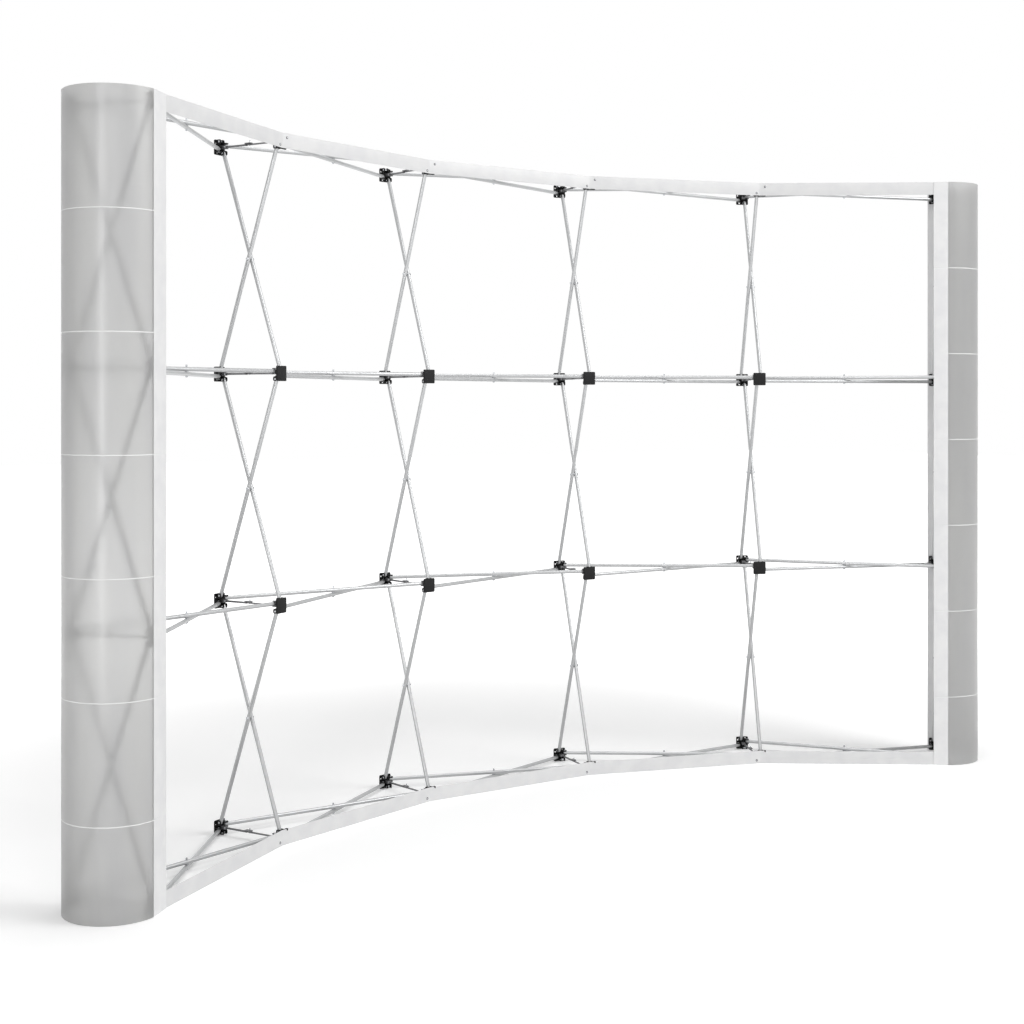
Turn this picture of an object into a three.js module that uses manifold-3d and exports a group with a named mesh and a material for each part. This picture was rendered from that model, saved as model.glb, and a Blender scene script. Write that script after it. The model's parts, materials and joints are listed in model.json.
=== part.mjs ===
// Curved pop up display backwall: a lattice of crossed tubes that pivot on
// square hubs, five bays wide and three bays high, with a fascia strip along
// its top and foot and a bowed end panel wrapped round each end.
//
// Units are millimetres, +Z is up, +X runs along the wall to the right, and
// the hollow side of the curve, where the graphics go, faces -Y. The origin is
// on the floor, under the middle of the object's bounding box.

import * as THREE from 'three';
import { mergeVertices } from 'three/addons/utils/BufferGeometryUtils.js';
import Module from 'manifold-3d';

const wasm = await Module();
wasm.setup();

// ---------------------------------------------------------------- sizes

// The lattice.
const BAYS = 5; // bays along the wall
const ROWS = 3; // bays up the wall
const FRONT_PITCH = 690; // hub to hub along the front, at the covers' faces
const ROW_PITCH = 727; // hub to hub up a column
const BAY_ANGLE = 17.7; // degrees that the wall turns from bay to bay
const WALL_DEPTH = 256; // front hub's face to back hub's face

// The hubs: a square plate with four forks, turned like a pinwheel.
const HUB_SIDE = 48;
const PLATE_THICK = 4;
const PIN_SETBACK = 14; // hub's face to its pivot pins
const PIN_INSET = 6.5; // hub's edge to its pivot pins
const EAR_THICK = 3;
const EAR_LENGTH = 15; // hub's edge inwards
const EAR_PAST_PIN = 8; // how far an ear reaches past its pin, into the wall

// The tubes.
const TUBE_OD = 13;
const TUBE_SIDES = 8;
const CROSSING_GAP = 1.5; // daylight between two tubes where they cross
const TONGUE_THICK = 5; // flattened end that goes between two ears
const TONGUE_WIDTH = 11;
const TONGUE_NOSE = 5.5; // tongue past its pin
const TUBE_CLEARANCE = 1.5; // round part of a tube to the hub's ears
const RIVET_DIAMETER = 6;
const RIVET_PROUD = 5; // rivet past the tubes that it joins
const RIVET_SIDES = 6;

// The lock arms: one half on the front hub, one half that hooks over it.
const ARM_WIDTH = 5;
const FRONT_ARM_HEIGHT = 5;
const REAR_ARM_HEIGHT = 6;
const EYE_HEIGHT = 8; // rear arm's eye, round its pivot pin
const ARM_PIN_DIAMETER = 4;
const ARM_PIN_CLEARANCE = 0.5;
const ARM_PIN_SIDES = 8;
const LUG_THICK = 3;
const LUG_HEIGHT = 10;
const PEG_SIDE = 4; // upright peg near the front arm's end
const PEG_HEIGHT = 8.5;
const PEG_CLEARANCE = 1.2; // peg to the catch's window, so that it can swing off
const ARM_PAST_PEG = 4;
const ARM_END_GAP = 4; // front arm's end to the rear arm's end
const CATCH_THICK = 3;
const CATCH_WALL = 4; // catch plate outside its window
const CATCH_ROOT = 8; // solid block that joins the catch to the rear arm

// The fascia strips.
const STRIP_HEIGHT = 48;
const STRIP_THICK = 1.5;
const STRIP_RISE = 3; // top strip's edge above the top hubs
const STRIP_SHORT = 11; // strip's end to the middle of the end hub

// The end panels: a thin sheet with a flange in front, a bowed side and a
// flange behind. The same sheet laps further round the front at the left.
const PANEL_THICK = 1.5;
const PANEL_LEFT_REACH = 50; // front flange past the hub's middle
const PANEL_LEFT_BULGE = 131; // side's furthest point from the hub's middle
const PANEL_RIGHT_REACH = 26;
const PANEL_RIGHT_BULGE = 150;
const PANEL_REAR_REACH = 29;
const PANEL_HUB_CLEARANCE = 3; // hub's edge to the sheet's bends
const PANEL_BEND_ANGLE = 15.7; // sweep of the side's ellipse that the bends cut off
const PANEL_SIDE_STEPS = 12;
const RAIL_WIDTH = 26; // upright rail behind the front flange

const SEAT_GAP = 0.3; // between parts that touch

// ------------------------------------------------------- worked out from them

const HALF_BAY = THREE.MathUtils.degToRad(BAY_ANGLE) / 2;
const FACE_RADIUS = FRONT_PITCH / 2 / Math.sin(HALF_BAY); // front faces' circle
const COLUMNS = BAYS + 1;
const LEVELS = ROWS + 1;
const PIN_OFFSET = HUB_SIDE / 2 - PIN_INSET;
const TUBE_OFFSET = (TUBE_OD + CROSSING_GAP) / 2; // tube off the hub's middle
const FRONT_PIN_Y = PIN_SETBACK;
const BACK_PIN_Y = WALL_DEPTH - PIN_SETBACK;
const SLOT_HALF = TONGUE_THICK / 2 + SEAT_GAP;
const EAR_END = PIN_SETBACK + EAR_PAST_PIN; // hub's face to its ears' ends
const WALL_TOP = HUB_SIDE + ROWS * ROW_PITCH + STRIP_RISE;

const EYE_REACH = Math.hypot(EYE_HEIGHT / 2, EYE_HEIGHT / 2);
const ARM_PIVOT_Y = WALL_DEPTH - EAR_END - EYE_REACH - SEAT_GAP;
const PEG_Y = WALL_DEPTH / 2;

const hubHeight = (level) => HUB_SIDE / 2 + level * ROW_PITCH;
const columnAngle = (column) => (column - BAYS / 2) * 2 * HALF_BAY;

// ---------------------------------------------------------------- materials

const finish = (color, roughness, metalness) =>
  new THREE.MeshStandardMaterial({ color, roughness, metalness });

const anodisedTube = finish('#c9cbcc', 0.35, 0.9);
const blackSteel = finish('#2b2b2c', 0.45, 0.6);
const whiteSheet = finish('#e3e3e3', 0.5, 0);
const frostedSheet = finish('#c1c1c0', 0.6, 0);
const lightRail = finish('#d9d9d9', 0.5, 0.2);

// ------------------------------------------------------------ solid helpers

/** A closed three.js geometry as a solid that can be cut and joined. */
function toSolid(geometry) {
  const bare = geometry.clone();
  bare.deleteAttribute('normal');
  bare.deleteAttribute('uv');
  const merged = mergeVertices(bare, 1e-4);
  return new wasm.Manifold(new wasm.Mesh({
    numProp: 3,
    vertProperties: new Float32Array(merged.attributes.position.array),
    triVerts: new Uint32Array(merged.index.array),
  }));
}

/** A solid as a three.js geometry. */
function toGeometry(solid) {
  const mesh = solid.getMesh();
  const geometry = new THREE.BufferGeometry();
  geometry.setAttribute('position', new THREE.BufferAttribute(mesh.vertProperties, 3));
  geometry.setIndex(new THREE.BufferAttribute(mesh.triVerts, 1));
  geometry.computeVertexNormals();
  return geometry;
}

const join = (solids) => solids.reduce((whole, solid) => whole.add(solid));

/** A box between two corners. */
function block(low, high) {
  const size = high.map((value, axis) => value - low[axis]);
  const middle = high.map((value, axis) => (value + low[axis]) / 2);
  return toSolid(new THREE.BoxGeometry(...size).translate(...middle));
}

/** The matrix that turns a solid from X, Y, Z to three axes of its own. */
function turnTo(xAxis, zAxis, origin) {
  const yAxis = new THREE.Vector3().crossVectors(zAxis, xAxis);
  return new THREE.Matrix4().makeBasis(xAxis, yAxis, zAxis).setPosition(origin);
}

/** A rod of n sides along an axis between two distances from the origin. */
function rod(axis, radius, from, to, sides) {
  const geometry = new THREE.CylinderGeometry(radius, radius, to - from, sides);
  geometry.rotateY(Math.PI / sides);
  geometry.translate(0, (from + to) / 2, 0);
  geometry.applyQuaternion(
    new THREE.Quaternion().setFromUnitVectors(new THREE.Vector3(0, 1, 0), axis));
  return toSolid(geometry);
}

/** A flat outline of [x, y] points raised between two heights. */
function raise(outline, bottom, top) {
  const shape = new THREE.Shape(outline.map(([x, y]) => new THREE.Vector2(x, y)));
  const geometry = new THREE.ExtrudeGeometry(shape, { depth: top - bottom, bevelEnabled: false });
  return toSolid(geometry.translate(0, 0, bottom));
}

// -------------------------------------------------------------------- tubes

const X_AXIS = new THREE.Vector3(1, 0, 0);
const Z_AXIS = new THREE.Vector3(0, 0, 1);

// A point of a column's own frame, seen from the frame of the bay beside it.
// side is -1 for the bay's left column and +1 for its right one.
function inBay(side, along, inwards) {
  const angle = side * HALF_BAY;
  const radius = FACE_RADIUS + inwards;
  return [
    radius * Math.sin(angle) + along * Math.cos(angle),
    radius * Math.cos(angle) - along * Math.sin(angle) - FACE_RADIUS,
  ];
}

// Pins of one horizontal tube, in the bay's frame.
const acrossFront = inBay(-1, PIN_OFFSET, FRONT_PIN_Y);
const acrossBack = inBay(1, -PIN_OFFSET, BACK_PIN_Y);

// The steepest angle between a tube and its hub's plate sets how far from the
// pin the round part of every tube starts.
const acrossSlope = Math.atan2(acrossBack[1] - acrossFront[1], acrossBack[0] - acrossFront[0]);
const uprightSlope = Math.atan2(BACK_PIN_Y - FRONT_PIN_Y, ROW_PITCH - 2 * PIN_OFFSET);
const steepest = Math.max(acrossSlope + HALF_BAY, uprightSlope);
const ROUND_START = (PIN_INSET + TUBE_CLEARANCE + TUBE_OD / 2 * Math.sin(steepest)) / Math.cos(steepest);

/** One tube between two pins, with a flat tongue at each end. */
function tube(pinA, pinB, pinAxis) {
  const run = new THREE.Vector3().subVectors(pinB, pinA);
  const length = run.length();
  const round = rod(X_AXIS, TUBE_OD / 2, ROUND_START, length - ROUND_START, TUBE_SIDES);
  const tongue = block(
    [-TONGUE_NOSE, -TONGUE_WIDTH / 2, -TONGUE_THICK / 2],
    [ROUND_START + TONGUE_NOSE, TONGUE_WIDTH / 2, TONGUE_THICK / 2]);
  const farTongue = tongue.mirror([1, 0, 0]).translate([length, 0, 0]);
  return join([round, tongue, farTongue])
    .transform(turnTo(run.normalize(), pinAxis, pinA).elements);
}

/** A rivet through two tubes, centred between them. */
function rivet(axis, place) {
  const half = TUBE_OFFSET + TUBE_OD / 2 + RIVET_PROUD;
  return rod(axis, RIVET_DIAMETER / 2, -half, half, RIVET_SIDES).translate(place);
}

/** Two tubes that cross in plan, the left one low in front, with their rivet. */
function crossPair() {
  const low = -TUBE_OFFSET;
  const tubeA = tube(
    new THREE.Vector3(...acrossFront, low), new THREE.Vector3(...acrossBack, low), Z_AXIS);
  const tubeB = tubeA.mirror([1, 0, 0]).mirror([0, 0, 1]);
  const share = acrossFront[0] / (acrossFront[0] - acrossBack[0]);
  const crossingY = acrossFront[1] + share * (acrossBack[1] - acrossFront[1]);
  return join([tubeA, tubeB, rivet(Z_AXIS, [0, crossingY, 0])]);
}

// --------------------------------------------------------------------- hubs

/** A hub with its face on y = 0 and its forks along +Y. */
function hub() {
  const half = HUB_SIDE / 2;
  const plate = block([-half, 0, -half], [half, PLATE_THICK, half]);
  const inner = half - EAR_LENGTH;
  // the fork on the right: an ear above and an ear below a level slot
  const ear = block([inner, 0, SLOT_HALF], [half, EAR_END, SLOT_HALF + EAR_THICK]);
  const fork = ear.add(ear.mirror([0, 0, 1])).translate([0, 0, -TUBE_OFFSET]);
  // the fork on top, closed by the tongue that fills it
  const thick = SLOT_HALF + EAR_THICK;
  const filledFork = block(
    [TUBE_OFFSET - thick, 0, inner], [TUBE_OFFSET + thick, EAR_END, half]);
  return join([
    plate, fork, filledFork, fork.rotate([0, 180, 0]), filledFork.rotate([0, 180, 0]),
  ]);
}

/** The lug on a back hub that carries a rear arm, in the column's frame. */
function armLug() {
  const near = ARM_PIVOT_Y - LUG_HEIGHT / 2;
  const inner = ARM_WIDTH / 2 + SEAT_GAP;
  const cheek = block(
    [inner, near, -LUG_HEIGHT / 2], [inner + LUG_THICK, WALL_DEPTH, LUG_HEIGHT / 2]);
  const pinEnd = inner + LUG_THICK / 2;
  const pin = rod(X_AXIS, ARM_PIN_DIAMETER / 2, -pinEnd, pinEnd, ARM_PIN_SIDES)
    .translate([0, ARM_PIVOT_Y, 0]);
  return join([cheek, cheek.mirror([1, 0, 0]), pin]);
}

/** The front half of a lock arm, with its peg, in the column's frame. */
function frontArm() {
  const top = FRONT_ARM_HEIGHT / 2;
  const bar = block(
    [-ARM_WIDTH / 2, 0, -top], [ARM_WIDTH / 2, PEG_Y + PEG_SIDE / 2 + ARM_PAST_PEG, top]);
  const peg = block(
    [-PEG_SIDE / 2, PEG_Y - PEG_SIDE / 2, 0],
    [PEG_SIDE / 2, PEG_Y + PEG_SIDE / 2, top + PEG_HEIGHT]);
  return bar.add(peg);
}

/** The rear half of a lock arm: an eye, a bar and the catch over the peg. */
function rearArm() {
  const half = ARM_WIDTH / 2;
  const top = REAR_ARM_HEIGHT / 2;
  const catchBottom = FRONT_ARM_HEIGHT / 2 + SEAT_GAP;
  const catchTop = catchBottom + CATCH_THICK;
  const barEnd = PEG_Y + PEG_SIDE / 2 + ARM_PAST_PEG + ARM_END_GAP;
  const window = PEG_SIDE / 2 + PEG_CLEARANCE;
  const eye = block(
    [-half, ARM_PIVOT_Y - EYE_HEIGHT / 2, -EYE_HEIGHT / 2],
    [half, ARM_PIVOT_Y + EYE_HEIGHT / 2, EYE_HEIGHT / 2]);
  const boreRadius = ARM_PIN_DIAMETER / 2 + ARM_PIN_CLEARANCE;
  const bore = rod(X_AXIS, boreRadius, -ARM_WIDTH, ARM_WIDTH, ARM_PIN_SIDES)
    .translate([0, ARM_PIVOT_Y, 0]);
  const bar = block([-half, barEnd, -top], [half, ARM_PIVOT_Y, top]);
  const root = block([-half, barEnd, -top], [half, barEnd + CATCH_ROOT, catchTop]);
  const plate = block(
    [-window - CATCH_WALL, PEG_Y - window - CATCH_WALL, catchBottom],
    [window + CATCH_WALL, barEnd + CATCH_ROOT, catchTop]);
  const hole = block([-window, PEG_Y - window, 0], [window, PEG_Y + window, catchTop * 2]);
  return join([bar.add(eye).subtract(bore), root, plate]).subtract(hole);
}

/** A column: its front and back hubs, the tubes that cross between them. */
function columnFrame() {
  const frontHub = hub();
  const backHub = frontHub.rotate([0, 0, 180]).translate([0, WALL_DEPTH, 0]).add(armLug());
  const station = join([frontHub, backHub]);
  const arm = frontArm();
  const solids = [];
  for (let level = 0; level < LEVELS; level += 1) {
    solids.push(station.add(arm).translate([0, 0, hubHeight(level)]));
  }
  for (let row = 0; row < ROWS; row += 1) {
    const bottom = hubHeight(row) + PIN_OFFSET;
    const top = hubHeight(row + 1) - PIN_OFFSET;
    const leaning = tube(
      new THREE.Vector3(TUBE_OFFSET, FRONT_PIN_Y, bottom),
      new THREE.Vector3(TUBE_OFFSET, BACK_PIN_Y, top), X_AXIS);
    const crossing = tube(
      new THREE.Vector3(-TUBE_OFFSET, BACK_PIN_Y, bottom),
      new THREE.Vector3(-TUBE_OFFSET, FRONT_PIN_Y, top), X_AXIS);
    solids.push(leaning, crossing, rivet(X_AXIS, [0, WALL_DEPTH / 2, (bottom + top) / 2]));
  }
  return join(solids);
}

// ------------------------------------------------------- strips, panels, rails

/** A fascia strip, bent at each column, in the middle of the wall's frame. */
function fasciaStrip(bottom) {
  const edge = (inwards) => {
    const points = [];
    for (let column = 0; column < COLUMNS; column += 1) {
      const angle = columnAngle(column);
      points.push(new THREE.Vector2(
        (FACE_RADIUS + inwards) * Math.sin(angle),
        (FACE_RADIUS + inwards) * Math.cos(angle)));
    }
    // cut both ends back from the middle of the end hubs
    const last = points.length - 1;
    const cut = (end, next) => end.add(
      next.clone().sub(end).setLength(STRIP_SHORT / Math.cos(HALF_BAY)));
    cut(points[0], points[1]);
    cut(points[last], points[last - 1]);
    return points.map((point) => [point.x, point.y]);
  };
  const backEdge = edge(-SEAT_GAP);
  const frontEdge = edge(-SEAT_GAP - STRIP_THICK / Math.cos(HALF_BAY));
  return raise([...frontEdge, ...backEdge.reverse()], bottom, bottom + STRIP_HEIGHT);
}

// How far in front of the end hubs a flange lies, so that it clears the strip,
// which leans forwards on its way to the next column.
const flangeStandoff = (reach) =>
  SEAT_GAP + STRIP_THICK / Math.cos(HALF_BAY) + reach * Math.tan(HALF_BAY) + SEAT_GAP;

/** The line of a sheet moved sideways by a distance, with mitred corners. */
function offsetPath(points, distance) {
  return points.map((point, index) => {
    const before = points[Math.max(index - 1, 0)];
    const after = points[Math.min(index + 1, points.length - 1)];
    const into = index > 0 ? point.clone().sub(before).normalize() : null;
    const out = index < points.length - 1 ? after.clone().sub(point).normalize() : null;
    const first = into ?? out;
    const second = out ?? into;
    const normal = new THREE.Vector2(-first.y - second.y, first.x + second.x).normalize();
    const mitre = normal.dot(new THREE.Vector2(-first.y, first.x));
    return point.clone().addScaledVector(normal, distance / mitre);
  });
}

/** An end panel in its column's frame: side is -1 at the left, +1 at the right. */
function endPanel(side, reach, bulge) {
  const bendX = HUB_SIDE / 2 + PANEL_HUB_CLEARANCE;
  const frontY = -flangeStandoff(reach) - PANEL_THICK;
  const backY = WALL_DEPTH + SEAT_GAP + PANEL_THICK;
  // the side is part of an ellipse, cut off where it meets the flanges
  const start = THREE.MathUtils.degToRad(PANEL_BEND_ANGLE);
  const across = (bulge - bendX) / (1 - Math.sin(start));
  const along = (backY - frontY) / 2 / Math.cos(start);
  const outer = [new THREE.Vector2(-reach, frontY)];
  for (let step = 0; step <= PANEL_SIDE_STEPS; step += 1) {
    const angle = start + (Math.PI - 2 * start) * step / PANEL_SIDE_STEPS;
    outer.push(new THREE.Vector2(
      bulge - across + across * Math.sin(angle),
      (frontY + backY) / 2 - along * Math.cos(angle)));
  }
  outer.push(new THREE.Vector2(-PANEL_REAR_REACH, backY));
  const inner = offsetPath(outer, PANEL_THICK);
  const outline = [...outer, ...inner.reverse()].map(({ x, y }) => [side * x, y]);
  return raise(outline, SEAT_GAP, WALL_TOP);
}

/** The rail on an end column's front hubs that the flange clings to. */
function flangeRail(reach) {
  return block(
    [-RAIL_WIDTH / 2, -flangeStandoff(reach) + SEAT_GAP, STRIP_HEIGHT + STRIP_RISE],
    [RAIL_WIDTH / 2, -SEAT_GAP, WALL_TOP - STRIP_HEIGHT - STRIP_RISE]);
}

// ----------------------------------------------------------------- assembly

const wall = new THREE.Group();
wall.name = 'pop_up_backwall';

/** A group on the wall's circle, with its own +Y pointing away from the centre. */
function stand(angle) {
  const group = new THREE.Group();
  group.position.set(FACE_RADIUS * Math.sin(angle), FACE_RADIUS * Math.cos(angle), 0);
  group.rotation.z = -angle;
  wall.add(group);
  return group;
}

function place(group, name, solid, material, height = 0) {
  const mesh = new THREE.Mesh(toGeometry(solid), material);
  mesh.name = name;
  mesh.position.z = height;
  group.add(mesh);
}

const columnSolid = columnFrame();
const armSolid = rearArm();
for (let column = 0; column < COLUMNS; column += 1) {
  const group = stand(columnAngle(column));
  place(group, `column_frame_${column + 1}`, columnSolid, anodisedTube);
  for (let level = 0; level < LEVELS; level += 1) {
    place(group, `lock_arm_c${column + 1}_l${level + 1}`, armSolid, blackSteel, hubHeight(level));
  }
}

const pairSolid = crossPair();
for (let bay = 0; bay < BAYS; bay += 1) {
  const group = stand(columnAngle(bay + 0.5));
  for (let level = 0; level < LEVELS; level += 1) {
    place(group, `cross_pair_b${bay + 1}_l${level + 1}`, pairSolid, anodisedTube, hubHeight(level));
  }
}

place(wall, 'fascia_bottom', fasciaStrip(SEAT_GAP), whiteSheet);
place(wall, 'fascia_top', fasciaStrip(WALL_TOP - STRIP_HEIGHT), whiteSheet);

const leftEnd = stand(columnAngle(0));
place(leftEnd, 'end_panel_left',
  endPanel(-1, PANEL_LEFT_REACH, PANEL_LEFT_BULGE), frostedSheet);
place(leftEnd, 'flange_rail_left', flangeRail(PANEL_LEFT_REACH), lightRail);

const rightEnd = stand(columnAngle(BAYS));
place(rightEnd, 'end_panel_right',
  endPanel(1, PANEL_RIGHT_REACH, PANEL_RIGHT_BULGE), frostedSheet);
place(rightEnd, 'flange_rail_right', flangeRail(PANEL_RIGHT_REACH), lightRail);

// Stand the wall on the floor over the origin.
const bounds = new THREE.Box3().setFromObject(wall, true);
wall.position.set(
  -(bounds.min.x + bounds.max.x) / 2, -(bounds.min.y + bounds.max.y) / 2, -bounds.min.z);

export default wall;
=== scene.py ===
# %% [markdown]
# # A curved pop up display backwall
#
# The object is a folding lattice. Round aluminium tubes cross each other in
# pairs and pivot on square black hubs, one at the front and one at the back of
# each node of the wall. Lock arms hold each front hub to its back hub, white
# strips close the top and the foot, and a bowed frosted sheet wraps each end.
#
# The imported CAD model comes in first. Everything below is placed from it.

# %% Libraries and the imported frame
import json
import math

import bmesh
import bpy
import numpy as np
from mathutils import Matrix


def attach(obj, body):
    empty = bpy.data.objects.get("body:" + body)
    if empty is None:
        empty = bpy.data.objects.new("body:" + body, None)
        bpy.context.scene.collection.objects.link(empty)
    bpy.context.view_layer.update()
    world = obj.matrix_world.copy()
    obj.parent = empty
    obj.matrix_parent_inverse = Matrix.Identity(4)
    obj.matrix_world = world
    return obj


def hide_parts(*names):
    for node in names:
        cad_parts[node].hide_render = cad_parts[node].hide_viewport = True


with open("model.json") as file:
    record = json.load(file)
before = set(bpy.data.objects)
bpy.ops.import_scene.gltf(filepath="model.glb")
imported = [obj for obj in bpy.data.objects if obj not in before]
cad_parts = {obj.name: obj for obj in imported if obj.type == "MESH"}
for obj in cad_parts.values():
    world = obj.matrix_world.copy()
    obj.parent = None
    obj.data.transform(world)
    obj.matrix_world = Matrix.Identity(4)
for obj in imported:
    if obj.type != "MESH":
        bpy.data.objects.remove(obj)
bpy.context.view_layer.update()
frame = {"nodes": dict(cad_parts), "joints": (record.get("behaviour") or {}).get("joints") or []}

# %% [markdown]
# ## Sizes
#
# Blender works in metres, and a maker thinks in millimetres, so each size is
# written in millimetres times MM. They are the sizes of the CAD model, plus
# the roundings and thin edges that only show in the picture.

# %% Sizes of the lattice, the strips and the end panels
MM = 0.001
COLUMNS = 6
LEVELS = 4

HUB_SIDE = 48 * MM
WALL_DEPTH = 256 * MM
BAY_ANGLE = math.radians(17.7)
PIN_SETBACK = 14 * MM
PIN_OFFSET = 17.5 * MM
TUBE_RADIUS = 6.5 * MM
TUBE_OFFSET = 7.25 * MM
EAR_END = 22 * MM
SEAT_GAP = 0.3 * MM

STRIP_HEIGHT = 48 * MM
STRIP_THICK = 1.5 * MM
STRIP_SHORT = 11 * MM
WALL_TOP = 2232 * MM

PANEL_THICK = 1.5 * MM
PANEL_BEND = 27 * MM
PANEL_BEND_ANGLE = math.radians(15.7)
PANEL_REAR_REACH = 29 * MM
PANELS = {
    "left": {"column": 1, "side": -1, "reach": 50 * MM, "bulge": 131 * MM},
    "right": {"column": 6, "side": 1, "reach": 26 * MM, "bulge": 150 * MM},
}

# %% [markdown]
# ## Where a column stands
#
# A lock arm turns on a pin just in front of its back hub, and the frame names
# that pin's place and direction. The pin lies across the column, so its
# direction gives all three axes of the column, and one step back from the pin
# gives the middle of the front hub's face.

# %% Columns, placed from the lock arms' pivots
UP = np.array([0.0, 0.0, 1.0])
ARM_EYE_RADIUS = 4 * MM
ARM_PIVOT_DEPTH = WALL_DEPTH - EAR_END - math.hypot(ARM_EYE_RADIUS, ARM_EYE_RADIUS) - SEAT_GAP
pivots = {joint["name"]: joint for joint in frame["joints"] if joint["type"] == "hinge"}


def station(column):
    """A column's origin on the floor, under its front face, and its axes: across, inward, up."""
    pivot = pivots[f"lock_arm_c{column}_l1_pivot"]
    across = -np.array(pivot["axis"], float)
    inward = np.cross(UP, across)
    origin = np.array(pivot["pos_m"], float) - inward * ARM_PIVOT_DEPTH
    origin[2] = 0.0
    return origin, np.array([across, inward, UP])


def at(points, column):
    """Points of a column's own frame, as points of the row's frame."""
    origin, axes = station(column)
    return np.asarray(points, float) @ axes + origin


def hub_height(level):
    """The height of a hub's middle. Levels count from 1 at the floor."""
    return pivots[f"lock_arm_c1_l{level}_pivot"]["pos_m"][2]


span = np.linalg.norm(at([0, 0, 0], 1) - at([0, 0, 0], COLUMNS))
print(f"end column to end column: {span:.3f} m, hub pitch up a column: {hub_height(2) - hub_height(1):.3f} m")

# %% [markdown]
# ## Bodies from rings
#
# Most parts here can be drawn as one outline that is carried along a line:
# a tube's section along the tube, a strip's section along the wall. Each step
# is a ring of points. Neighbouring rings are skinned with four-sided faces,
# and the two ends are closed with one flat face each. All of it is arithmetic
# on whole arrays, so a hub with a thousand points costs no more to write down
# than a box.

# %% Skin a stack of rings
def skin(rings, material=0, loop=False):
    """A closed body: face (i, j) joins ring i to ring i + 1 between points j and j + 1."""
    rings = np.asarray(rings, float)
    count, around = rings.shape[:2]
    ring = np.arange(around)
    rows = np.arange(count if loop else count - 1)
    here = rows[:, None] * around
    there = (rows[:, None] + 1) % count * around
    beside = np.roll(ring, -1)
    quads = np.stack([here + ring, here + beside, there + beside, there + ring], -1)
    faces = quads.reshape(-1, 4).tolist()
    if not loop:
        faces += [ring[::-1].tolist(), (ring + (count - 1) * around).tolist()]
    return rings.reshape(-1, 3), faces, [material] * len(faces)


def rounded_outline(width, height, corner, steps=4):
    """A rectangle with round corners: each corner's middle plus its radius times (cos, sin)."""
    turn = np.arange(4)[:, None] * math.pi / 2 + np.linspace(0, math.pi / 2, steps)
    signs = np.array([[1, 1], [-1, 1], [-1, -1], [1, -1]], float)[:, None, :]
    middle = signs * [width / 2 - corner, height / 2 - corner]
    return (middle + corner * np.stack([np.cos(turn), np.sin(turn)], -1)).reshape(-1, 2)


def slab(width, height, corner, depth, edge, steps=4):
    """A plate with round corners and round edges: the outline shrinks by 1 - sin as it sinks by 1 - cos."""
    turn = np.radians([0, 45, 90])
    inset = edge * (1 - np.sin(turn))
    sink = edge * (1 - np.cos(turn))
    insets = np.concatenate([inset, inset[::-1]])
    levels = np.concatenate([sink, depth - sink[::-1]])
    rings = []
    for shrink, level in zip(insets, levels):
        flat = rounded_outline(width - 2 * shrink, height - 2 * shrink, max(corner - shrink, edge / 4), steps)
        rings.append(np.column_stack([flat, np.full(len(flat), level)]))
    return np.array(rings)


def turned(profile, sides=16):
    """A turned part: each (radius, height) of the profile swept round the third axis."""
    radius, height = np.asarray(profile, float).T
    angle = np.arange(sides) * 2 * math.pi / sides
    x = radius[:, None] * np.cos(angle)
    y = radius[:, None] * np.sin(angle)
    return np.stack([x, y, np.broadcast_to(height[:, None], x.shape)], -1)


def lay(points, origin, first, second):
    """Points turned so that their first two axes lie along the two given directions."""
    first = np.asarray(first, float)
    second = np.asarray(second, float)
    third = np.cross(first, second)
    return np.asarray(points, float) @ np.array([first, second, third]) + np.asarray(origin, float)


# %% [markdown]
# ## From arrays to a Blender object
#
# One object can hold many closed bodies, such as the eight hubs of a column.
# Their points are stacked, their faces are renumbered, and the mesh is told
# which edges are sharp from the angle between its faces, so that a round tube
# shades smoothly and the end of it still looks cut.

# %% Make a piece that rides on the frame
SHARP_ANGLE = math.radians(38)


def make_piece(name, bodies, materials, rides_on, stands_for=()):
    """Joins bodies of points, faces and material numbers into one object of the frame."""
    points, faces, numbers, start = [], [], [], 0
    for body_points, body_faces, body_materials in bodies:
        points.append(body_points)
        faces += [[index + start for index in face] for face in body_faces]
        numbers += body_materials
        start += len(body_points)
    mesh = bpy.data.meshes.new(name)
    mesh.from_pydata(np.concatenate(points).tolist(), [], faces)
    for material in materials:
        mesh.materials.append(material)
    mesh.polygons.foreach_set("material_index", numbers)
    work = bmesh.new()
    work.from_mesh(mesh)
    bmesh.ops.recalc_face_normals(work, faces=work.faces)
    work.to_mesh(mesh)
    work.free()
    mesh.shade_smooth()
    mesh.set_sharp_from_angle(angle=SHARP_ANGLE)
    piece = bpy.data.objects.new(name, mesh)
    bpy.context.scene.collection.objects.link(piece)
    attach(piece, rides_on)
    if stands_for:
        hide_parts(*stands_for)
    return piece


# %% [markdown]
# ## Finishes
#
# Each finish starts from what the real material is. Colours are written as the
# hex values that a paint chart gives and turned to linear light once. One
# function adds a node, sets it and links it, and each finish is a short list
# of such nodes.

# %% Colour and node helpers
def linear(hex_colour):
    """An sRGB hex colour as linear RGBA, by the sRGB curve."""
    channels = [int(hex_colour[i : i + 2], 16) / 255 for i in (1, 3, 5)]
    curve = [c / 12.92 if c <= 0.04045 else ((c + 0.055) / 1.055) ** 2.4 for c in channels]
    return (*curve, 1.0)


def add(material, kind, settings=None, links=None):
    """Adds a node: a setting is one of its properties or an unlinked socket, a link is a socket."""
    node = material.node_tree.nodes.new(kind)
    for key, value in (settings or {}).items():
        if isinstance(key, str) and hasattr(node, key):
            setattr(node, key, value)
        else:
            node.inputs[key].default_value = value
    for key, source in (links or {}).items():
        material.node_tree.links.new(source, node.inputs[key])
    return node


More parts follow.
